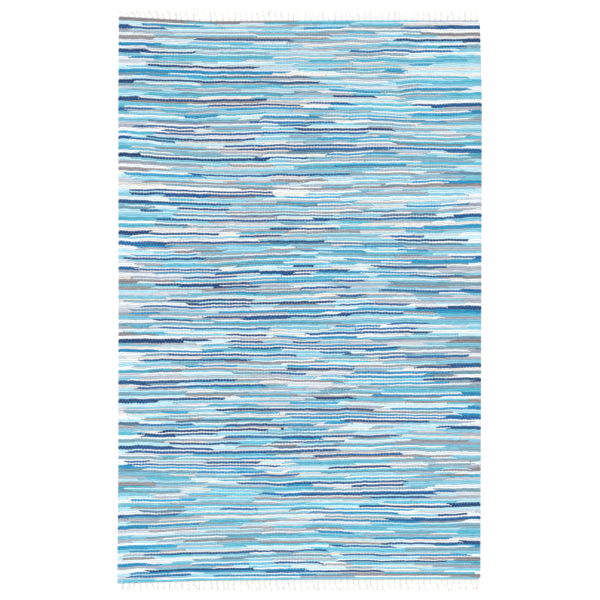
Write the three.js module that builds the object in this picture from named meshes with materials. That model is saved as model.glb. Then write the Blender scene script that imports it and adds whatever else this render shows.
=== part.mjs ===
// A hand-woven rag rug, lying flat on the floor.
//
// Cut cotton rags are the weft: each pick of rag crosses the whole rug, turns round the outer warp
// end and comes back, so the top is a field of close ribs and both selvedges are rows of small
// turns. The cotton warp ends are knotted in bunches against the last pick at each end and hang
// out as a fringe.
//
// Millimetres, +Z up. X runs along the picks from selvedge to selvedge and Y along the warp, so
// the near end is at -Y and the far end at +Y. The origin is on the floor under the rug's middle.

import * as THREE from 'three';

// Driving dimensions.
const CLOTH_WIDTH = 1516; // between the selvedges, without their turns
const CLOTH_LENGTH = 2346; // woven length, at the nominal end lines
const PICKS = 330; // each one rib; an even number, out and back
const RIB_CREST = 7; // height of a rib's top above the floor
const RIB_VALLEY = 5.2; // height of the groove between two ribs
const TURN_REACH = 3; // how far a turn of rag stands out of the selvedge
const TURN_NOTCH = 1; // how far the selvedge is drawn in between two turns
const ROW_DRIFT = 3.5; // how far a pick wanders from a straight line
const KNOTS = 61; // knotted bunches of warp along each end, two strands each
const KNOT_WIDTH = 6.6;
const KNOT_LENGTH = 6;
const KNOT_HEIGHT = 5;
const HEADING_WIDTH = 4; // the band of packed warp that the knots sit on
const HEADING_HEIGHT = 3.6;
const FRINGE_REACH = 44; // from the nominal end line to the tips
const STRAND_WIDTH = 3;
const STRAND_HEIGHT = 2.6; // where a strand leaves its knot
const TIP_HEIGHT = 1.8;
const STRAND_SPLAY = 4; // from a bunch's middle to each strand's tip
const PART_GAP = 0.3; // between the cloth and each heading

// How far each woven end runs past its nominal line, and how far the fringe's tips lean along X.
const ENDS = [
  { x: -CLOTH_WIDTH / 2, near: 14, far: 17, nearLean: 4, farLean: -17 },
  { x: -400, near: 2, far: -3, nearLean: 3, farLean: -11 },
  { x: 150, near: -3, far: 0, nearLean: 9, farLean: -5 },
  { x: CLOTH_WIDTH / 2, near: -4, far: 1, nearLean: 6, farLean: -1 },
];

// How far each selvedge lies outside its nominal line.
const SELVEDGES = [
  { y: -CLOTH_LENGTH / 2, left: 5, right: -3 },
  { y: -700, left: 1, right: -2 },
  { y: 0, left: 0, right: 1 },
  { y: 850, left: 1, right: 3 },
  { y: CLOTH_LENGTH / 2, left: -1, right: -5 },
];

// A repeatable value from -1 to 1 for each index and purpose.
function scatter(index, purpose) {
  const noise = Math.sin(index * 12.9898 + purpose * 78.233) * 43758.5453;
  return 2 * (noise - Math.floor(noise)) - 1;
}

// A column of one of the tables above, read at a place between its rows.
function between(rows, key, place, column) {
  let i = 1;
  while (i < rows.length - 1 && place > rows[i][key]) i += 1;
  const share = (place - rows[i - 1][key]) / (rows[i][key] - rows[i - 1][key]);
  return THREE.MathUtils.lerp(rows[i - 1][column], rows[i][column], share);
}

// ---------------------------------------------------------------------------------------------
// Cloth: one ribbed sheet with a flat underside
// ---------------------------------------------------------------------------------------------

// Lines across the cloth alternate between the grooves (even) and the rib crests (odd).
const LINES = 2 * PICKS;

// The height of line number `line` along Y, where it crosses x.
function lineY(line, x) {
  const share = line / LINES;
  const near = -CLOTH_LENGTH / 2 - between(ENDS, 'x', x, 'near');
  const far = CLOTH_LENGTH / 2 + between(ENDS, 'x', x, 'far');
  const y = THREE.MathUtils.lerp(near, far, share);
  const settled = Math.min(1, 12 * share * (1 - share)); // the end picks lie along the ends
  const drift = Math.sin(x / 210 + y / 95) + 0.7 * Math.sin(x / 330 - y / 170 + 1.3);
  return y + ROW_DRIFT * settled * drift;
}

// A selvedge stands out where the rag turns from one pick to the next, and is drawn in where two
// turns meet. The left turns join picks 0 and 1, 2 and 3; the right ones join 1 and 2, 3 and 4.
function turnReach(line, firstTurn) {
  if (line % 2 === 1) return TURN_REACH / 2;
  return (line / 2 - firstTurn) % 2 === 0 ? TURN_REACH : -TURN_NOTCH;
}

function selvedgeX(line, side) {
  const edgeX = (side * CLOTH_WIDTH) / 2;
  const wander = between(SELVEDGES, 'y', lineY(line, edgeX), side < 0 ? 'left' : 'right');
  return edgeX + side * (wander + turnReach(line, side < 0 ? 1 : 2));
}

function columnX(line, column) {
  if (column === 0) return selvedgeX(line, -1);
  if (column === ENDS.length - 1) return selvedgeX(line, 1);
  return ENDS[column].x;
}

// A closed body that stands on the floor. Its top is given as points and triangles of point
// numbers, its rim as point numbers anticlockwise from above.
function standingBody(points, topTriangles, rim) {
  const floor = points.length;
  const allPoints = [...points, ...rim.map((top) => [points[top][0], points[top][1], 0])];
  const walls = rim.flatMap((top, i) => {
    const next = (i + 1) % rim.length;
    return [[floor + i, floor + next, rim[next]], [floor + i, rim[next], top]];
  });
  const outline = rim.map((top) => new THREE.Vector2(points[top][0], points[top][1]));
  const underside = THREE.ShapeUtils.triangulateShape(outline, []).map(([a, b, c]) => (
    [floor + a, floor + c, floor + b]
  ));
  const geometry = new THREE.BufferGeometry();
  geometry.setAttribute('position', new THREE.Float32BufferAttribute(allPoints.flat(), 3));
  geometry.setIndex([...topTriangles, ...walls, ...underside].flat());
  geometry.computeVertexNormals();
  return geometry;
}

function clothGeometry() {
  const columns = ENDS.length;
  const points = [];
  const triangles = [];
  const at = (line, column) => line * columns + column;

  for (let line = 0; line <= LINES; line += 1) {
    for (let column = 0; column < columns; column += 1) {
      const height = line % 2 === 1 ? RIB_CREST : RIB_VALLEY;
      points.push([columnX(line, column), lineY(line, ENDS[column].x), height]);
    }
  }
  for (let line = 0; line < LINES; line += 1) {
    for (let column = 0; column < columns - 1; column += 1) {
      const [a, b] = [at(line, column), at(line, column + 1)];
      const [c, d] = [at(line + 1, column + 1), at(line + 1, column)];
      triangles.push([a, b, c], [a, c, d]);
    }
  }

  const rim = [];
  for (let column = 0; column < columns; column += 1) rim.push(at(0, column));
  for (let line = 1; line < LINES; line += 1) rim.push(at(line, columns - 1));
  for (let column = columns - 1; column >= 0; column -= 1) rim.push(at(LINES, column));
  for (let line = LINES - 1; line > 0; line -= 1) rim.push(at(line, 0));
  return standingBody(points, triangles, rim);
}

// ---------------------------------------------------------------------------------------------
// Fringes: forked bunches of warp on a narrow heading along each woven end
// ---------------------------------------------------------------------------------------------

// The heading's two long sides along an end: side is -1 near and +1 far.
function headingY(side, x, width) {
  return lineY(side < 0 ? 0 : LINES, x) + side * (PART_GAP + width);
}

// One bunch of warp: a raised knot on the heading, forked into two strands that lie level on the
// floor. Its points run round the fork, from the heading's edge and back to it.
function bunchPoints(side, index) {
  const pitch = (CLOTH_WIDTH - KNOT_WIDTH) / KNOTS;
  const x = (index + 0.5 - KNOTS / 2) * pitch + 2 * scatter(index, side);
  const rootY = headingY(side, x, HEADING_WIDTH);
  const knotY = rootY + side * KNOT_LENGTH;
  const lean = between(ENDS, 'x', x, side < 0 ? 'nearLean' : 'farLean');
  const aim = x + lean + 2.5 * scatter(index, 4);
  const tips = [-1, 1].flatMap((part) => {
    const strand = 2 * index + (part + 1) / 2;
    const tipX = aim + part * (STRAND_SPLAY + 1.5 * scatter(strand, 3));
    const tipY = side * (CLOTH_LENGTH / 2 + FRINGE_REACH + 4 * scatter(strand, 5 + side));
    return [-1, 1].map((edge) => [tipX + 0.4 * edge * STRAND_WIDTH, tipY, TIP_HEIGHT]);
  });
  return [
    [x - KNOT_WIDTH / 3, rootY, HEADING_HEIGHT],
    [x - KNOT_WIDTH / 2, knotY, KNOT_HEIGHT],
    tips[0],
    tips[1],
    [x + lean / 8, knotY + side * KNOT_LENGTH / 3, STRAND_HEIGHT],
    tips[2],
    tips[3],
    [x + KNOT_WIDTH / 2, knotY, KNOT_HEIGHT],
    [x + KNOT_WIDTH / 3, rootY, HEADING_HEIGHT],
  ];
}

// The fork's top, in numbers of its own points, anticlockwise at the near end.
const FORK_TRIANGLES = [
  [0, 1, 7], [0, 7, 8], // knot
  [1, 4, 7], // crotch
  [1, 2, 3], [1, 3, 4], // strand towards -X
  [4, 5, 6], [4, 6, 7], // strand towards +X
];

function fringeGeometry(side) {
  const endLine = side < 0 ? 0 : LINES;
  const corners = ENDS.map((row, column) => [columnX(endLine, column), row.x]);
  const point = ([x, place], width) => [x, headingY(side, place, width), HEADING_HEIGHT];

  // The points run along the heading's outer side with every bunch on it, then back along its
  // inner side. Seen from above, that is anticlockwise at the near end only.
  const points = [point(corners[0], HEADING_WIDTH)];
  const triangles = [];
  const headingRim = [0];
  for (let index = 0; index < KNOTS; index += 1) {
    const first = points.length;
    points.push(...bunchPoints(side, index));
    for (const fork of FORK_TRIANGLES) {
      const [a, b, c] = side < 0 ? fork : fork.toReversed();
      triangles.push([first + a, first + b, first + c]);
    }
    headingRim.push(first, first + 8);
  }
  points.push(point(corners.at(-1), HEADING_WIDTH));
  headingRim.push(points.length - 1);
  for (const corner of corners.toReversed()) {
    headingRim.push(points.length);
    points.push(point(corner, 0));
  }
  const rim = points.map((_, n) => n);
  const headingOutline = headingRim.map((n) => new THREE.Vector2(points[n][0], points[n][1]));
  THREE.ShapeUtils.triangulateShape(headingOutline, []).forEach((triangle) => {
    triangles.push(triangle.map((n) => headingRim[n]));
  });

  return standingBody(points, triangles, side < 0 ? rim : rim.toReversed());
}

// ---------------------------------------------------------------------------------------------
// Materials and assembly
// ---------------------------------------------------------------------------------------------

const ragCotton = new THREE.MeshStandardMaterial({
  name: 'rag_cotton', color: 0x9fc5d6, roughness: 0.95, metalness: 0,
});
const warpCotton = new THREE.MeshStandardMaterial({
  name: 'warp_cotton', color: 0xf3eee4, roughness: 0.95, metalness: 0,
});

function part(name, geometry, material) {
  const mesh = new THREE.Mesh(geometry, material);
  mesh.name = name;
  return mesh;
}

const rug = new THREE.Group();
rug.add(part('rug_cloth', clothGeometry(), ragCotton));
rug.add(part('fringe_near', fringeGeometry(-1), warpCotton));
rug.add(part('fringe_far', fringeGeometry(1), warpCotton));

// The uneven outline is centred over the origin.
const middle = new THREE.Box3().setFromObject(rug).getCenter(new THREE.Vector3());
rug.position.set(-middle.x, -middle.y, 0);

export default rug;
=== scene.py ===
import math
import random

import bmesh
import bpy
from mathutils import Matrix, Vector, noise


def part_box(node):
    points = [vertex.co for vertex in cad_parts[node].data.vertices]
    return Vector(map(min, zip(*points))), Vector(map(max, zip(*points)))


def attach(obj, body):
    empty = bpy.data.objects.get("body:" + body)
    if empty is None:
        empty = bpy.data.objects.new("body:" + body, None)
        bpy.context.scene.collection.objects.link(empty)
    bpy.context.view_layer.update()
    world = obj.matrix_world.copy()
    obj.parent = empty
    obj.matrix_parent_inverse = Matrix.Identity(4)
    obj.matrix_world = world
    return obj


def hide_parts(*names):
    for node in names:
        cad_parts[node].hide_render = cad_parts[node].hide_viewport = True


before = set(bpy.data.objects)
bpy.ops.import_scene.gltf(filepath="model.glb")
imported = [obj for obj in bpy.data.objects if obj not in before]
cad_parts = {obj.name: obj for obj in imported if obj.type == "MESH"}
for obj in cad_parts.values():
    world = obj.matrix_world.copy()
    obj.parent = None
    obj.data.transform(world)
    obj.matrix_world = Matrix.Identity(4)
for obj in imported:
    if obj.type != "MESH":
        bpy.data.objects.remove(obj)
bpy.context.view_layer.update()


# The warp. 244 plied cotton threads are stretched side by side over the loom, four to each knot of
# the fringe. They fix the cloth's outline, and between the rags they show as a thin pale web.
PICKS = 330
WARP_THREADS = 244
CLOTH_WIDTH = 1.516
CLOTH_LENGTH = 2.346
WARP_PITCH = CLOTH_WIDTH / WARP_THREADS
WARP_STRAY = 0.0007
TURN_REACH = 0.003
WEB_HEIGHT = 0.0022
WEB_THICKNESS = 0.0009
WEB_RIDGE = 0.0005
WEB_INSET = 0.004
WEB_ROWS = 8

# The picks drift from a straight line in two long waves, which fade out towards both ends.
ROW_DRIFT = 0.0035
DRIFT_FADE = 12
DRIFT_WAVES = [
    dict(height=1.0, across=0.210, along=0.095, start=0.0),
    dict(height=0.7, across=0.330, along=-0.170, start=1.3),
]

# How far each woven end runs past its nominal line, and how far the fringe leans along X there.
ENDS = [
    dict(x=-0.758, near=0.014, far=0.017, near_lean=0.004, far_lean=-0.017),
    dict(x=-0.400, near=0.002, far=-0.003, near_lean=0.003, far_lean=-0.011),
    dict(x=0.150, near=-0.003, far=0.000, near_lean=0.009, far_lean=-0.005),
    dict(x=0.758, near=-0.004, far=0.001, near_lean=0.006, far_lean=-0.001),
]

# How far each selvedge lies outside its nominal line.
SELVEDGES = [
    dict(y=-1.173, left=0.005, right=-0.003),
    dict(y=-0.700, left=0.001, right=-0.002),
    dict(y=0.000, left=0.000, right=0.001),
    dict(y=0.850, left=0.001, right=0.003),
    dict(y=1.173, left=-0.001, right=-0.005),
]


def between(rows, key, place, column):
    """A column of a table, read at a place between two of its rows."""
    last = 1
    while last < len(rows) - 1 and place > rows[last][key]:
        last += 1
    before, after = rows[last - 1], rows[last]
    share = (place - before[key]) / (after[key] - before[key])
    return before[column] + share * (after[column] - before[column])


def beaten_line(groove, x):
    """Where groove number `groove`, between two picks, crosses x if all the picks are alike."""
    share = groove / PICKS
    near = -CLOTH_LENGTH / 2 - between(ENDS, "x", x, "near")
    far = CLOTH_LENGTH / 2 + between(ENDS, "x", x, "far")
    y = near + share * (far - near)
    settled = min(1, DRIFT_FADE * share * (1 - share))
    drift = sum(
        wave["height"] * math.sin(x / wave["across"] + y / wave["along"] + wave["start"])
        for wave in DRIFT_WAVES
    )
    return y + ROW_DRIFT * settled * drift


def selvedge(y, side):
    """The nominal selvedge at height y, on the left (-1) or the right (1), without its turns."""
    return side * (CLOTH_WIDTH / 2 + between(SELVEDGES, "y", y, "left" if side < 0 else "right"))


loom_hand = random.Random(11)
warp_stray = [WARP_STRAY * loom_hand.uniform(-1, 1) for _ in range(WARP_THREADS)]


def warp_x(thread, y):
    """The place of a warp thread across the rug, counted from the left, at height y."""
    left, right = selvedge(y, -1), selvedge(y, 1)
    return left + (thread + 0.5) / WARP_THREADS * (right - left) + warp_stray[thread]


# The loom's own coordinates are moved onto the solid cloth, whose uneven outline is centred.
cloth_low, cloth_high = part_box("rug_cloth")
loom_left = min(selvedge(row["y"], -1) for row in SELVEDGES) - TURN_REACH
loom_near = min(beaten_line(0, row["x"]) for row in ENDS)
LOOM_TO_FLOOR = Vector((cloth_low.x - loom_left, cloth_low.y - loom_near, 0))


def made_piece(name, bm, material):
    """Ends a piece: its mesh is moved onto the floor, gets its finish and rides with the rug."""
    bmesh.ops.translate(bm, verts=bm.verts, vec=LOOM_TO_FLOOR)
    mesh = bpy.data.meshes.new(name)
    bm.to_mesh(mesh)
    bm.free()
    mesh.materials.append(material)
    lay_flat_map(mesh)
    piece = bpy.data.objects.new(name, mesh)
    bpy.context.scene.collection.objects.link(piece)
    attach(piece, "root")
    return piece


MAP_MARGIN = 0.01
MAP_SPAN = 1 - 2 * MAP_MARGIN


def lay_flat_map(mesh):
    """A map of the piece as seen from above, so that its finish is drawn once along the cloth."""
    left, near = (min(vertex.co[axis] for vertex in mesh.vertices) for axis in (0, 1))
    right, far = (max(vertex.co[axis] for vertex in mesh.vertices) for axis in (0, 1))
    places = [
        (
            MAP_MARGIN + MAP_SPAN * (x - left) / (right - left),
            MAP_MARGIN + MAP_SPAN * (y - near) / (far - near),
        )
        for x, y, _ in (vertex.co for vertex in mesh.vertices)
    ]
    corners = [0] * len(mesh.loops)
    mesh.loops.foreach_get("vertex_index", corners)
    layer = mesh.uv_layers.new(name="OFBake")
    layer.data.foreach_set("uv", [number for corner in corners for number in places[corner]])


def linear(red, green, blue):
    """A colour given as it looks, from 0 to 255, as the shader's own numbers."""
    def channel(value):
        value /= 255
        return value / 12.92 if value < 0.04045 else ((value + 0.055) / 1.055) ** 2.4
    return (channel(red), channel(green), channel(blue), 1)


COTTON_ROUGHNESS = 0.92
COTTON_GLOSS = 0.2


def shader_tree(material):
    """A new material's node tree, and its shader, which is as dull as cotton."""
    material.use_nodes = True
    shader = material.node_tree.nodes["Principled BSDF"]
    shader.inputs["Roughness"].default_value = COTTON_ROUGHNESS
    shader.inputs["Specular IOR Level"].default_value = COTTON_GLOSS
    return material.node_tree, shader


WARP_LIGHT = linear(245, 243, 240)
WARP_SHADE = linear(227, 223, 219)
BLOTCH_SCALE = 90
BLOTCH_DETAIL = 3
PLY_SCALE = 260
PLY_STRENGTH = 0.5
PLY_DEPTH = 0.0003


def warp_cotton():
    """Unbleached cotton twine: pale, with the faint slanting bands of its plies."""
    material = bpy.data.materials.new("warp_cotton")
    tree, shader = shader_tree(material)
    nodes, links = tree.nodes, tree.links
    place = nodes.new("ShaderNodeTexCoord")
    blotches = nodes.new("ShaderNodeTexNoise")
    blotches.inputs["Scale"].default_value = BLOTCH_SCALE
    blotches.inputs["Detail"].default_value = BLOTCH_DETAIL
    colour = nodes.new("ShaderNodeMix")
    colour.data_type = "RGBA"
    colour.inputs["A"].default_value = WARP_SHADE
    colour.inputs["B"].default_value = WARP_LIGHT
    plies = nodes.new("ShaderNodeTexWave")
    plies.bands_direction = "DIAGONAL"
    plies.inputs["Scale"].default_value = PLY_SCALE
    relief = nodes.new("ShaderNodeBump")
    relief.inputs["Strength"].default_value = PLY_STRENGTH
    relief.inputs["Distance"].default_value = PLY_DEPTH
    links.new(place.outputs["Object"], blotches.inputs["Vector"])
    links.new(place.outputs["Object"], plies.inputs["Vector"])
    links.new(blotches.outputs["Fac"], colour.inputs["Factor"])
    links.new(colour.outputs["Result"], shader.inputs["Base Color"])
    links.new(plies.outputs["Fac"], relief.inputs["Height"])
    links.new(relief.outputs["Normal"], shader.inputs["Normal"])
    return material


def warp_web():
    """The threads side by side, each a low ridge from one woven end to the other."""
    bm = bmesh.new()
    columns = 2 * WARP_THREADS
    bmesh.ops.create_grid(bm, x_segments=columns, y_segments=WEB_ROWS, size=0.5)
    for vertex in bm.verts:
        across, along = vertex.co.x + 0.5, vertex.co.y + 0.5
        x = (across - 0.5) * (CLOTH_WIDTH - 2 * WEB_INSET)
        near, far = beaten_line(0, x) + WEB_INSET, beaten_line(PICKS, x) - WEB_INSET
        ridge = WEB_RIDGE if round(across * columns) % 2 else 0
        vertex.co = (x, near + along * (far - near), WEB_HEIGHT + ridge)
    web = made_piece("warp_web", bm, warp_twine)
    thickness = web.modifiers.new("thread_thickness", "SOLIDIFY")
    thickness.thickness = WEB_THICKNESS
    return web


warp_twine = warp_cotton()
web = warp_web()
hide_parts("rug_cloth")


# The rags. Strips of cut cotton cloth are laid in by the shuttle one after another, out and back
# across the warp. Each starts beside the tapered end of the last, and every pick is beaten against
# the one before. They turn round the outer warp thread at each selvedge.
CROSSINGS = PICKS * WARP_THREADS
RAG_LENGTH = 0.25
RAG_LENGTH_SPREAD = 0.6
SHORTEST_RAG = 0.08
LONGEST_RAG = 1.9
SPLICE_CROSSINGS = (1, 4)
CLEAR_AFTER_TURN = 8
CLEAR_BEFORE_TURN = 4
LEANEST_RAG = 0.70
FULLEST_RAG = 1.28
TUFTED_SHARE = 0.5

# Each cloth's share of the draws, and its colour in full light and in its folds.
RAG_CLOTHS = [
    dict(name="white", share=0.390, light=(252, 255, 255), shade=(236, 243, 248)),
    dict(name="cream", share=0.095, light=(252, 247, 243), shade=(230, 226, 223)),
    dict(name="pale_grey", share=0.075, light=(230, 236, 242), shade=(206, 213, 223)),
    dict(name="grey", share=0.052, light=(192, 200, 210), shade=(166, 174, 188)),
    dict(name="taupe", share=0.016, light=(172, 168, 172), shade=(144, 140, 146)),
    dict(name="ice_blue", share=0.195, light=(214, 248, 255), shade=(188, 232, 246)),
    dict(name="sky", share=0.222, light=(154, 220, 238), shade=(126, 199, 220)),
    dict(name="turquoise", share=0.034, light=(100, 208, 230), shade=(74, 178, 204)),
    dict(name="deep_turquoise", share=0.018, light=(32, 172, 216), shade=(14, 138, 188)),
    dict(name="sea_green", share=0.024, light=(146, 188, 202), shade=(116, 160, 178)),
    dict(name="denim", share=0.004, light=(112, 152, 180), shade=(82, 120, 150)),
    dict(name="royal", share=0.011, light=(24, 120, 180), shade=(8, 90, 152)),
    dict(name="navy", share=0.009, light=(26, 99, 157), shade=(6, 63, 119)),
]

# The longest dark rags, which make the rug's bold streaks, and those along both ends are laid as
# listed and the rest by chance: the pick where each begins, counted from the near end, about how
# many metres to the right of the middle it begins, and about its length. Even picks run to the
# left and odd ones to the right, and a long rag goes on round the selvedge.
STREAKS_BY_CHOICE = [
    dict(pick=0, start=0.75, length=0.80, cloth="sky"),
    dict(pick=0, start=-0.05, length=0.70, cloth="turquoise"),
    dict(pick=6, start=-0.20, length=0.45, cloth="navy"),
    dict(pick=10, start=0.60, length=0.45, cloth="navy"),
    dict(pick=16, start=-0.05, length=0.60, cloth="navy"),
    dict(pick=21, start=0.35, length=0.50, cloth="navy"),
    dict(pick=43, start=0.45, length=0.45, cloth="navy"),
    dict(pick=51, start=-0.15, length=0.80, cloth="royal"),
    dict(pick=57, start=-0.25, length=0.70, cloth="navy"),
    dict(pick=68, start=-0.10, length=0.65, cloth="royal"),
    dict(pick=84, start=0.40, length=0.55, cloth="navy"),
    dict(pick=88, start=-0.15, length=0.45, cloth="navy"),
    dict(pick=95, start=0.30, length=0.60, cloth="royal"),
    dict(pick=100, start=0.30, length=0.65, cloth="navy"),
    dict(pick=106, start=-0.60, length=0.60, cloth="navy"),
    dict(pick=116, start=-0.65, length=0.60, cloth="navy"),
    dict(pick=125, start=0.50, length=0.40, cloth="navy"),
    dict(pick=129, start=-0.65, length=0.45, cloth="navy"),
    dict(pick=136, start=0.40, length=0.70, cloth="navy"),
    dict(pick=140, start=-0.50, length=0.65, cloth="navy"),
    dict(pick=148, start=-0.15, length=0.45, cloth="royal"),
    dict(pick=159, start=0.50, length=0.40, cloth="navy"),
    dict(pick=161, start=-0.65, length=0.45, cloth="royal"),
    dict(pick=169, start=0.35, length=0.50, cloth="royal"),
    dict(pick=175, start=-0.60, length=0.40, cloth="navy"),
    dict(pick=181, start=-0.35, length=0.55, cloth="navy"),
    dict(pick=184, start=-0.35, length=0.50, cloth="royal"),
    dict(pick=199, start=-0.60, length=0.70, cloth="navy"),
    dict(pick=204, start=-0.35, length=0.55, cloth="navy"),
    dict(pick=212, start=0.10, length=0.70, cloth="royal"),
    dict(pick=222, start=-0.30, length=0.60, cloth="navy"),
    dict(pick=227, start=-0.60, length=0.50, cloth="royal"),
    dict(pick=239, start=-0.45, length=0.65, cloth="royal"),
    dict(pick=248, start=-0.15, length=0.70, cloth="navy"),
    dict(pick=260, start=-0.20, length=0.45, cloth="navy"),
    dict(pick=265, start=0.00, length=0.40, cloth="navy"),
    dict(pick=279, start=0.55, length=0.50, cloth="royal"),
    dict(pick=282, start=-0.15, length=0.70, cloth="navy"),
    dict(pick=292, start=-0.70, length=0.90, cloth="navy"),
    dict(pick=302, start=-0.20, length=0.45, cloth="navy"),
    dict(pick=310, start=-0.45, length=0.45, cloth="navy"),
    dict(pick=318, start=-0.05, length=0.40, cloth="navy"),
    dict(pick=325, start=0.45, length=0.50, cloth="royal"),
    dict(pick=328, start=-0.50, length=1.00, cloth="taupe"),
    dict(pick=329, start=0.00, length=0.50, cloth="sky"),
    dict(pick=329, start=0.50, length=0.25, cloth="grey"),
]

weaver = random.Random(2024)
RAGS_DRAWN = 30
RAGS_AT_HAND = 3
MIDDLE_LIGHTNESS = 0.75
MEMORY = 0.4


def new_rag(cloth, first, last):
    """One strip of cloth, from its first to its last crossing with the warp."""
    return dict(
        cloth=cloth,
        first=first,
        last=last,
        splice=weaver.randint(*SPLICE_CROSSINGS),
        passes_left=weaver.random() < 0.5,
        fullness=weaver.uniform(LEANEST_RAG, FULLEST_RAG),
        tone=weaver.uniform(0, 1),
        tuft=weaver.choice((-1, 1)) if weaver.random() < TUFTED_SHARE else 0,
    )


def lightness(row):
    """How light a cloth is, from 0 to 1."""
    return sum(row["light"]) / 3 / 255


def crossing(number):
    """The pick and the warp thread of a crossing, counted along the shuttle's way."""
    pick, along = divmod(number, WARP_THREADS)
    return pick, (along if pick % 2 else WARP_THREADS - 1 - along)


def chosen_runs():
    """The chosen rags as first crossing, last crossing and cloth, in the order of laying."""
    runs = []
    for row in STREAKS_BY_CHOICE:
        thread = round((row["start"] / CLOTH_WIDTH + 0.5) * WARP_THREADS)
        along = thread if row["pick"] % 2 else WARP_THREADS - 1 - thread
        first = row["pick"] * WARP_THREADS + along
        runs.append((first, first + round(row["length"] / WARP_PITCH), row["cloth"]))
    return sorted(runs)


def rag_end(last, stop):
    """The last crossing of a rag: never in a turn, and at the stop if it comes near that."""
    along_pick = last % WARP_THREADS
    last += max(0, CLEAR_AFTER_TURN - along_pick)
    last -= max(0, along_pick - (WARP_THREADS - CLEAR_BEFORE_TURN))
    return stop if stop - last < SHORTEST_RAG / WARP_PITCH else last


def next_cloth(patch, beside):
    """Of a few rags that come to hand, the one that is darkest on a light patch, or lightest on
    a dark one, and never a cloth that lies beside the place already."""
    shares = [row["share"] for row in RAG_CLOTHS]
    drawn = weaver.choices(RAG_CLOTHS, shares, k=RAGS_DRAWN)
    at_hand = [row for row in drawn if row["name"] not in beside]
    return min(at_hand[:RAGS_AT_HAND], key=lambda row: patch * lightness(row))["name"]


def laid_rags():
    """All the rags in the order of laying: the chosen ones, and others between them."""
    light = {row["name"]: lightness(row) - MIDDLE_LIGHTNESS for row in RAG_CLOTHS}
    balance = [0.0] * WARP_THREADS
    top_cloth = [None] * WARP_THREADS
    chosen = chosen_runs()
    rags = []
    first = 0
    cloth = None
    while first < CROSSINGS:
        is_chosen = bool(chosen) and chosen[0][0] == first
        if is_chosen:
            _, last, cloth = chosen.pop(0)
        else:
            length = RAG_LENGTH * math.exp(weaver.gauss(0, RAG_LENGTH_SPREAD))
            last = first + round(min(LONGEST_RAG, max(SHORTEST_RAG, length)) / WARP_PITCH)
        last = rag_end(last, chosen[0][0] - 1 if chosen else CROSSINGS - 1)
        threads = [crossing(number)[1] for number in range(first, last + 1)]
        if not is_chosen:
            patch = sum(balance[thread] for thread in threads) / len(threads)
            quarters = [threads[len(threads) * quarter // 4] for quarter in (1, 2, 3)]
            cloth = next_cloth(patch, {cloth, *(top_cloth[thread] for thread in quarters)})
        for thread in threads:
            balance[thread] = MEMORY * (balance[thread] + light[cloth])
            top_cloth[thread] = cloth
        rags.append(new_rag(cloth, first, last))
        first = last + 1
    return rags


SPLICE_START = 0.9
SPLICE_TAPER = 0.8


def splice_share(rag, following, number):
    """How much of the pick's width the rag has at a crossing that it shares with the next one."""
    start = following["first"] - following["splice"]
    if number < start:
        return 1
    return SPLICE_START - SPLICE_TAPER * (number - start + 0.5) / following["splice"]


rags = laid_rags()

# How full the rags are. Each has its own fullness, and swells and thins on its way in bulges of
# three sizes: how much, how quickly they change across the rug and from pick to pick, and a seed.
SLOW_SWELL = dict(height=0.22, across=7, by_pick=0.8, seed=0)
QUICK_SWELL = dict(height=0.18, across=14, by_pick=2.3, seed=5)
LUMPS = dict(height=0.13, across=55, by_pick=3.1, seed=9)
STIFFNESS = 4


def bulge(kind, thread, pick):
    """How much more or less there is of something at a crossing."""
    place = (thread * WARP_PITCH * kind["across"], pick * kind["by_pick"], kind["seed"])
    return kind["height"] * noise.noise(place)


def smoothed(row, reach):
    """Each value as the mean of its neighbours, as stiff rag evens out its own bulk."""
    out = []
    for place in range(len(row)):
        near = row[max(0, place - reach):place + reach + 1]
        out.append(sum(near) / len(near))
    return out


fullness = [[0.0] * WARP_THREADS for _ in range(PICKS)]
for rag in rags:
    for number in range(rag["first"], rag["last"] + 1):
        pick, thread = crossing(number)
        fullness[pick][thread] = rag["fullness"] + bulge(SLOW_SWELL, thread, pick)
fullness = [smoothed(smoothed(row, STIFFNESS), STIFFNESS) for row in fullness]
for pick, row in enumerate(fullness):
    for thread in range(WARP_THREADS):
        row[thread] += bulge(QUICK_SWELL, thread, pick)
        row[thread] += bulge(LUMPS, thread, pick)

# Where each groove between two picks crosses each warp thread. A full rag pushes the picks after
# it on, and the beater brings them back towards their even line. The warp pinches each pick that it
# passes over.
BEAT_EVENNESS = 0.11
EVEN_END_PICKS = 6
PINCH = 0.0007
PINCH_SPREAD = dict(height=1.6, across=9, by_pick=0.9, seed=12)
groove_y = [[0.0] * WARP_THREADS for _ in range(PICKS + 1)]
for thread in range(WARP_THREADS):
    even = [beaten_line(groove, warp_x(thread, 0)) for groove in range(PICKS + 1)]
    pushed = 0.0
    groove_y[0][thread] = even[0]
    for pick in range(PICKS):
        pitch = even[pick + 1] - even[pick]
        pushed = (1 - BEAT_EVENNESS) * (pushed + (fullness[pick][thread] - 1) * pitch)
        settled = min(1, (PICKS - 1 - pick) / EVEN_END_PICKS)
        pull = 1 + bulge(PINCH_SPREAD, thread, pick)
        bend = PINCH * max(0, pull) * (1 if (thread + pick) % 2 == 0 else -1)
        groove_y[pick + 1][thread] = even[pick + 1] + settled * (pushed + bend)

# A rag's section: how high its crest and its keel lie where it passes over the warp and under it,
# and how its crest slumps and rucks, in waves that are finer up the rug than across it.
CREST_OVER = 0.0070
KEEL_OVER = 0.0009
CREST_UNDER = 0.0061
KEEL_UNDER = 0.0002
WAIST = 0.0028
SQUEEZE = 0.0007
SLUMP = 0.0012
SLUMP_WAVES = 45
RUCK = 0.0006
RUCK_WAVES = 110
WAVES_UP_THE_RUG = 400


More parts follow.
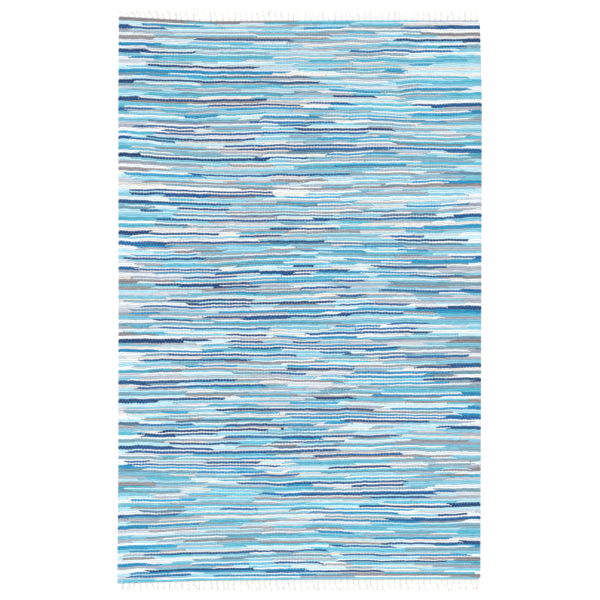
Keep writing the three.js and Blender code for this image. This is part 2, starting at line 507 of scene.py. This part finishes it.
def rag_section(left, right, over):
    """Four corners of a rag's section: its left edge, crest, right edge and keel. The crest
    slumps to one side or the other and is rucked along the rag."""
    middle = (left + right) / 2
    reach = (right - left) / 2
    across = reach.normalized()
    up_the_rug = middle.y * WAVES_UP_THE_RUG
    slump = SLUMP * noise.noise((middle.x * SLUMP_WAVES, up_the_rug, 3))
    ruck = RUCK * min(0, noise.noise((middle.x * RUCK_WAVES, up_the_rug, 8)))
    reach += across * SQUEEZE
    return (
        middle - reach + Vector((0, 0, WAIST)),
        middle + across * slump + Vector((0, 0, (CREST_OVER if over else CREST_UNDER) + ruck)),
        middle + reach + Vector((0, 0, WAIST)),
        middle + Vector((0, 0, KEEL_OVER if over else KEEL_UNDER)),
    )


def crossing_sides(number):
    """The left and right side of the pick at a crossing, as the shuttle sees them."""
    pick, thread = crossing(number)
    low = Vector((warp_x(thread, groove_y[pick][thread]), groove_y[pick][thread], 0))
    high = Vector((low.x, groove_y[pick + 1][thread], 0))
    return (high, low) if pick % 2 else (low, high)


def split_sides(left, right, share, on_left):
    """The part of a pick's width that one rag has, on the left or the right."""
    if on_left:
        return left, left + share * (right - left)
    return right - share * (right - left), right


TURN_RADIUS = 0.0055
TURN_STEPS = (-50, 0, 50)


def turn_sections(number, share, on_left):
    """The sections of a rag between the last crossing of a pick and the first of the next."""
    pick, thread = crossing(number)
    side = 1 if pick % 2 else -1
    pivot_y = groove_y[pick + 1][thread]
    pivot = Vector((selvedge(pivot_y, side) + side * (TURN_REACH - TURN_RADIUS), pivot_y, 0))
    below = pivot_y - groove_y[pick][thread]
    above = groove_y[pick + 2][thread] - pivot_y
    sections = []
    for degrees in TURN_STEPS:
        angle = math.radians(degrees)
        height = above if degrees > 0 else below
        outer = pivot + Vector((side * TURN_RADIUS * math.cos(angle), height * math.sin(angle), 0))
        left, right = (pivot, outer) if side > 0 else (outer, pivot)
        left, right = split_sides(left, right, share, on_left)
        sections.append(rag_section(left, right, degrees == 0))
    return sections


TUFT_REACH = 0.0070
TUFT_WIDTH = 0.0036
TUFT_NECK = 0.6
TUFT_THICKNESS = 0.0010
TUFT_HEIGHT = 0.0076


def flat_section(middle, half_width):
    """The section of a single layer of cloth."""
    half_thickness = Vector((0, 0, TUFT_THICKNESS / 2))
    return (
        middle - half_width,
        middle + half_thickness,
        middle + half_width,
        middle - half_thickness,
    )


def tuft_sections(left, right, side):
    """A loose end that sticks out over the pick on one side, from its tip to where it turns."""
    across = (right - left).normalized()
    ahead = Vector((-across.y, across.x, 0))
    sections = []
    for share, axis in ((1, side * ahead), (TUFT_NECK, across + 2 * side * ahead)):
        reach = share * share * TUFT_REACH
        middle = (left + right) / 2 + side * reach * across + Vector((0, 0, TUFT_HEIGHT))
        sections.append(flat_section(middle, share * TUFT_WIDTH / 2 * axis.normalized()))
    return sections


def rag_sections(index):
    """All the sections of a rag, from its start to its tucked end."""
    rag = rags[index]
    following = rags[index + 1] if index + 1 < len(rags) else None
    sections = []
    start = rag["first"] - (rag["splice"] if index else 0)
    if rag["tuft"] and 0 < crossing(start)[0] < PICKS - 1:
        sections += tuft_sections(*crossing_sides(start), rag["tuft"])
    for number in range(start, rag["last"] + 1):
        share, on_left = 1, True
        if index and number < rag["first"]:
            share = 1 - splice_share(rags[index - 1], rag, number)
            on_left = rag["passes_left"]
        elif following and number >= following["first"] - following["splice"]:
            share = splice_share(rag, following, number)
            on_left = not following["passes_left"]
        pick, thread = crossing(number)
        left, right = split_sides(*crossing_sides(number), share, on_left)
        sections.append(rag_section(left, right, (thread + pick) % 2 == 0))
        if number % WARP_THREADS == WARP_THREADS - 1 and number < rag["last"]:
            sections += turn_sections(number, share, on_left)
    return sections


# The tone of a strip: how strong its streaks are, how quickly they change along it, from fold to
# fold and from strip to strip, and how much painted shade darkens it where its crest lies low, as
# under the warp; a crest that stands higher, as on a tuft, gets a painted highlight instead.
STREAKS = 0.8
STREAK_ALONG = 0.3
STREAK_BY_FOLD = 5
STREAK_BY_STRIP = 40
PAINTED_LOW_SHADE = 0.25
PAINTED_LOW_SHADE_GAIN = 5
WELD_DISTANCE = 1e-7


def wind_strip(whole, sections, tone):
    """Adds a closed strip: a grid wound round the sections, with both ends filled. Its tone
    changes from fold to fold and along its length. It gets painted shade where its crest lies low
    and a painted highlight where its crest stands high."""
    sides = len(sections[0])
    bm = bmesh.new()
    tone_and_shade = bm.verts.layers.float.new("tone")
    bmesh.ops.create_grid(bm, x_segments=len(sections) - 1, y_segments=sides, size=0.5)
    for place, vertex in enumerate(bm.verts):
        corner, along = divmod(place, len(sections))
        vertex.co = sections[along][corner % sides]
        fold = corner % sides * STREAK_BY_FOLD
        streak = noise.noise((along * STREAK_ALONG, fold, STREAK_BY_STRIP * tone))
        # Painted shade: the tone drops as the crest sits lower than it does over the warp, and
        # rises as a painted highlight where the crest stands higher.
        depth_for_shade = (CREST_OVER - sections[along][1].z) / CREST_OVER
        vertex[tone_and_shade] = tone + STREAKS * streak - PAINTED_LOW_SHADE * min(1, PAINTED_LOW_SHADE_GAIN * depth_for_shade)
    bmesh.ops.remove_doubles(bm, verts=bm.verts, dist=WELD_DISTANCE)
    rims = [edge for edge in bm.edges if edge.is_boundary]
    bmesh.ops.holes_fill(bm, edges=rims, sides=sides)
    bmesh.ops.recalc_face_normals(bm, faces=bm.faces)
    for face in bm.faces:
        face.smooth = True
    strip = bpy.data.meshes.new("strip")
    bm.to_mesh(strip)
    bm.free()
    whole.from_mesh(strip)
    bpy.data.meshes.remove(strip)


FOLD_SCALE = (14, 420, 0)
FOLD_DETAIL = 4
FOLD_ROUGHNESS = 0.6
FOLD_TONE_AND_SHADE = 2.4
CREASE_STRENGTH = 0.8
CREASE_DEPTH = 0.0025
GRAIN_SCALE = 900
GRAIN_DETAIL = 2
GRAIN_STRENGTH = 0.35
GRAIN_DEPTH = 0.0004
RAG_SHEEN = 0.15


def rag_cloth(row):
    """Cotton rag: each strip has its own tone. The fold noise that sinks its creases also darkens
    its colour there, partly the cloth's own streaks and partly painted shade in the creases.
    """
    material = bpy.data.materials.new("rag_" + row["name"])
    tree, shader = shader_tree(material)
    nodes, links = tree.nodes, tree.links
    place = nodes.new("ShaderNodeTexCoord")
    along = nodes.new("ShaderNodeMapping")
    along.inputs["Scale"].default_value = FOLD_SCALE
    folds = nodes.new("ShaderNodeTexNoise")
    folds.inputs["Scale"].default_value = 1
    folds.inputs["Detail"].default_value = FOLD_DETAIL
    folds.inputs["Roughness"].default_value = FOLD_ROUGHNESS
    # The tone attribute carries each strip's own tone and streaks, together with the painted shade
    # of its low places and the painted highlight of its high ones.
    tone = nodes.new("ShaderNodeAttribute")
    tone.attribute_name = "tone"
    # Partly painted shade: where the fold noise is low the creases sink, and the colour goes
    # towards the cloth's shade.
    spread = nodes.new("ShaderNodeMath")
    spread.operation = "MULTIPLY_ADD"
    spread.inputs[1].default_value = FOLD_TONE_AND_SHADE
    spread.inputs[2].default_value = -FOLD_TONE_AND_SHADE / 2
    both = nodes.new("ShaderNodeMath")
    both.operation = "ADD"
    both.use_clamp = True
    colour = nodes.new("ShaderNodeMix")
    colour.data_type = "RGBA"
    colour.inputs["A"].default_value = linear(*row["shade"])
    colour.inputs["B"].default_value = linear(*row["light"])
    grain = nodes.new("ShaderNodeTexNoise")
    grain.inputs["Scale"].default_value = GRAIN_SCALE
    grain.inputs["Detail"].default_value = GRAIN_DETAIL
    weave = nodes.new("ShaderNodeBump")
    weave.inputs["Strength"].default_value = GRAIN_STRENGTH
    weave.inputs["Distance"].default_value = GRAIN_DEPTH
    creases = nodes.new("ShaderNodeBump")
    creases.inputs["Strength"].default_value = CREASE_STRENGTH
    creases.inputs["Distance"].default_value = CREASE_DEPTH
    links.new(place.outputs["Object"], along.inputs["Vector"])
    links.new(along.outputs["Vector"], folds.inputs["Vector"])
    links.new(folds.outputs["Fac"], spread.inputs[0])
    links.new(spread.outputs["Value"], both.inputs[0])
    links.new(tone.outputs["Fac"], both.inputs[1])
    links.new(both.outputs["Value"], colour.inputs["Factor"])
    links.new(colour.outputs["Result"], shader.inputs["Base Color"])
    links.new(place.outputs["Object"], grain.inputs["Vector"])
    links.new(grain.outputs["Fac"], weave.inputs["Height"])
    links.new(folds.outputs["Fac"], creases.inputs["Height"])
    links.new(weave.outputs["Normal"], creases.inputs["Normal"])
    links.new(creases.outputs["Normal"], shader.inputs["Normal"])
    shader.inputs["Sheen Weight"].default_value = RAG_SHEEN
    return material


def rags_of(row):
    """All the rags cut from one cloth, as one piece."""
    bm = bmesh.new()
    for index, rag in enumerate(rags):
        if rag["cloth"] == row["name"]:
            wind_strip(bm, rag_sections(index), rag["tone"])
    return made_piece("rags_" + row["name"], bm, rag_cloth(row))


rag_pieces = [rags_of(row) for row in RAG_CLOTHS]

# One scrap of a plum rag was caught in the weave and lies on top of a pick: where it is, and its
# width at places along it, from its middle.
SCRAP_PICK = 89
SCRAP_THREAD = 110
SCRAP_CLOTH = dict(name="plum", light=(82, 56, 78), shade=(54, 36, 54))
SCRAP_SHAPE = [
    dict(along=-0.007, width=0.004),
    dict(along=-0.003, width=0.009),
    dict(along=0.003, width=0.008),
    dict(along=0.007, width=0.003),
]
SCRAP_TONE = 0.5


def caught_scrap():
    """The scrap as one short flat strip."""
    left, right = crossing_sides(SCRAP_PICK * WARP_THREADS + SCRAP_THREAD)
    across = (right - left).normalized()
    sections = []
    for row in SCRAP_SHAPE:
        middle = (left + right) / 2 + Vector((row["along"], 0, TUFT_HEIGHT))
        sections.append(flat_section(middle, row["width"] / 2 * across))
    bm = bmesh.new()
    wind_strip(bm, sections, SCRAP_TONE)
    return made_piece("scrap_plum", bm, rag_cloth(SCRAP_CLOTH))


rag_pieces.append(caught_scrap())


# The warp's stitches. Where the warp passes over a pick, a short length of each thread shows on
# top of the rag and presses into it, on every other thread in turn.
STITCH_WIDTH = 0.0012
STITCH_RISE = 0.0066
STITCH_DIVE = 0.0046
STITCH_INSET = 0.0007


def warp_stitches():
    """Each stitch is a small pointed body that rises out of one groove and dives into the next."""
    bm = bmesh.new()
    bmesh.ops.create_cone(bm, cap_ends=True, segments=3, radius1=0.5, radius2=0, depth=1)
    for count in (WARP_THREADS // 2, PICKS):
        stitch = bpy.data.meshes.new("stitch")
        bm.to_mesh(stitch)
        bm.clear()
        for _ in range(count):
            bm.from_mesh(stitch)
        bpy.data.meshes.remove(stitch)
    points = []
    for pick in range(PICKS):
        for thread in range((pick + 1) % 2, WARP_THREADS, 2):
            low, high = groove_y[pick][thread], groove_y[pick + 1][thread]
            x, middle = warp_x(thread, low), (low + high) / 2
            points += [
                (x, low + STITCH_INSET, STITCH_DIVE),
                (x + STITCH_WIDTH / 2, middle, STITCH_RISE),
                (x - STITCH_WIDTH / 2, middle, STITCH_RISE),
                (x, high - STITCH_INSET, STITCH_DIVE),
            ]
    for vertex, point in zip(bm.verts, points):
        vertex.co = point
    bmesh.ops.recalc_face_normals(bm, faces=bm.faces)
    return made_piece("warp_stitches", bm, warp_twine)


stitches = warp_stitches()


# The fringes. At each end the warp threads are knotted in fours against the last pick, and their
# cut ends lie out on the floor in two loose strands to a knot.
KNOTS = 61
THREADS_PER_KNOT = 4
KNOT_WIDTH = 0.0066
KNOT_LENGTH = 0.006
KNOT_HEIGHT = 0.005
KNOT_STRAY = 0.002
HEADING_WIDTH = 0.0043
FRINGE_REACH = 0.044
REACH_STRAY = 0.004
LEAN_STRAY = 0.0055
STRAND_SPLAY = 0.004
SPLAY_STRAY = 0.003
THREAD_RADIUS = 0.0011
THREAD_SIDES = 5
THREAD_STEPS = 2
THREAD_LIFT = 0.0002
THREAD_BOW = 0.006
THREAD_TONE = 0.5

# Where a thread starts inside the cloth, how it leaves its knot, and how its cut end lies beside
# the other one of its strand.
ROOT_INSIDE = 0.003
ROOT_HEIGHT = 0.0035
STRAND_FROM_KNOT = 0.0014
THREAD_FROM_STRAND = 0.0006
KNOT_EXIT = 0.6
KNOT_DROP = 0.0006
TIP_SPREAD = 1.5
TIP_SPREAD_STRAY = 1.4
CUT_STRAY = 0.003


def scatter(index, purpose):
    """A repeatable value from -1 to 1 for each index and purpose."""
    value = math.sin(index * 12.9898 + purpose * 78.233) * 43758.5453
    return 2 * (value - math.floor(value)) - 1


def smooth_path(points, steps):
    """Points along a curve through the given ones, with so many steps between each two."""
    path = []
    for number in range(len(points) - 1):
        before = points[max(0, number - 1)]
        start, end = points[number], points[number + 1]
        after = points[min(len(points) - 1, number + 2)]
        for step in range(steps):
            t = step / steps
            path.append(
                start
                + 0.5 * t * (end - before)
                + t * t * (before - 2.5 * start + 2 * end - 0.5 * after)
                + t * t * t * (-0.5 * before + 1.5 * start - 1.5 * end + 0.5 * after)
            )
    return path + [points[-1]]


def thread_sections(path, radius):
    """Sections of a thread along a path that lies nearly level."""
    sections = []
    for number, point in enumerate(path):
        ahead = path[min(number + 1, len(path) - 1)] - path[max(0, number - 1)]
        across = ahead.cross(Vector((0, 0, 1))).normalized()
        upwards = across.cross(ahead).normalized()
        angles = [2 * math.pi * side / THREAD_SIDES for side in range(THREAD_SIDES)]
        sections.append([
            point + radius * (math.cos(angle) * across + math.sin(angle) * upwards)
            for angle in angles
        ])
    return sections


def thread_path(side, thread, edge_y, knot, aim):
    """The path of one thread of the warp, out of the cloth, through its knot and to its cut end."""
    strand = thread // 2
    strand_side = 1 if strand % 2 else -1
    thread_side = 1 if thread % 2 else -1
    tip_x = aim + strand_side * (STRAND_SPLAY + SPLAY_STRAY * scatter(strand, 3 + side))
    tip_y = side * (CLOTH_LENGTH / 2 + FRINGE_REACH + REACH_STRAY * scatter(strand, 5 + side))
    spread = THREAD_RADIUS * (TIP_SPREAD + TIP_SPREAD_STRAY * scatter(thread, 7 + side))
    start = Vector((
        warp_x(thread, edge_y + side * HEADING_WIDTH),
        edge_y - side * ROOT_INSIDE,
        ROOT_HEIGHT,
    ))
    away = knot + Vector((
        strand_side * STRAND_FROM_KNOT + thread_side * THREAD_FROM_STRAND,
        side * KNOT_LENGTH * KNOT_EXIT,
        -KNOT_DROP,
    ))
    tip = Vector((
        tip_x + thread_side * spread,
        tip_y - side * CUT_STRAY * (1 + scatter(thread, 8)),
        THREAD_RADIUS + THREAD_LIFT,
    ))
    halfway = (away + tip) / 2 + Vector((THREAD_BOW * scatter(thread, 9 + side), 0, 0))
    halfway.z = tip.z
    return smooth_path([start, knot, away, halfway, tip], THREAD_STEPS)


def fringe(name, side):
    """One end's bunches: -1 is the near end and 1 the far one."""
    pitch = (CLOTH_WIDTH - KNOT_WIDTH) / KNOTS
    bm = bmesh.new()
    for bunch in range(KNOTS):
        x = (bunch + 0.5 - KNOTS / 2) * pitch + KNOT_STRAY * scatter(bunch, side)
        edge_y = beaten_line(0 if side < 0 else PICKS, x)
        knot_y = edge_y + side * HEADING_WIDTH + side * KNOT_LENGTH / 2
        knot = Vector((x, knot_y, KNOT_HEIGHT / 2))
        ball = bmesh.ops.create_icosphere(bm, subdivisions=1, radius=0.5)["verts"]
        bmesh.ops.scale(bm, verts=ball, vec=Vector((KNOT_WIDTH, KNOT_LENGTH, KNOT_HEIGHT)))
        bmesh.ops.translate(bm, verts=ball, vec=knot)
        lean = between(ENDS, "x", x, "near_lean" if side < 0 else "far_lean")
        aim = x + lean + LEAN_STRAY * scatter(bunch, 4 + side)
        for thread in range(THREADS_PER_KNOT * bunch, THREADS_PER_KNOT * (bunch + 1)):
            path = thread_path(side, thread, edge_y, knot, aim)
            wind_strip(bm, thread_sections(path, THREAD_RADIUS), THREAD_TONE)
    return made_piece(name, bm, warp_twine)


near_fringe = fringe("fringe_near_threads", -1)
far_fringe = fringe("fringe_far_threads", 1)
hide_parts("fringe_near")
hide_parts("fringe_far")


# The studio: a white floor, a large soft lamp far overhead and a camera straight above the rug.
FLOOR_SIZE = 200
CAMERA_HEIGHT = 7.0
PIXELS = 600
METRES_PER_PIXEL = 0.004195
RUG_CENTRE_PIXEL = (299.5, 300.25)
SENSOR_WIDTH = 36
WHITE = (1, 1, 1, 1)
SKY_STRENGTH = 0.64


def studio_floor():
    """A plain white floor that reaches far beyond the rug."""
    bm = bmesh.new()
    bmesh.ops.create_grid(bm, x_segments=1, y_segments=1, size=FLOOR_SIZE / 2)
    mesh = bpy.data.meshes.new("floor")
    bm.to_mesh(mesh)
    bm.free()
    floor = bpy.data.objects.new("floor", mesh)
    bpy.context.scene.collection.objects.link(floor)
    material = bpy.data.materials.new("floor")
    _, shader = shader_tree(material)
    shader.inputs["Base Color"].default_value = WHITE
    mesh.materials.append(material)


def overhead_camera():
    """A camera that looks straight down on the rug."""
    data = bpy.data.cameras.new("camera")
    data.sensor_width = SENSOR_WIDTH
    data.lens = SENSOR_WIDTH * CAMERA_HEIGHT / (PIXELS * METRES_PER_PIXEL)
    camera = bpy.data.objects.new("camera", data)
    centre_x = (PIXELS / 2 - RUG_CENTRE_PIXEL[0]) * METRES_PER_PIXEL
    centre_y = (RUG_CENTRE_PIXEL[1] - PIXELS / 2) * METRES_PER_PIXEL
    camera.location = (centre_x, centre_y, CAMERA_HEIGHT)
    bpy.context.scene.collection.objects.link(camera)
    bpy.context.scene.camera = camera


def far_lamp(direction, softness, strength):
    """A lamp so far away that the whole floor is lit alike."""
    data = bpy.data.lights.new("far_lamp", "SUN")
    data.angle = math.radians(softness)
    data.energy = strength
    lamp = bpy.data.objects.new("far_lamp", data)
    lamp.rotation_euler = (-Vector(direction)).to_track_quat("-Z", "Y").to_euler()
    bpy.context.scene.collection.objects.link(lamp)


studio_floor()
overhead_camera()
far_lamp(direction=(-1.5, 5.0, 8.0), softness=25, strength=1.92)
world = bpy.data.worlds.new("studio")
bpy.context.scene.world = world
world.use_nodes = True
world.node_tree.nodes["Background"].inputs["Color"].default_value = WHITE
world.node_tree.nodes["Background"].inputs["Strength"].default_value = SKY_STRENGTH
bpy.context.scene.view_settings.view_transform = "Standard"
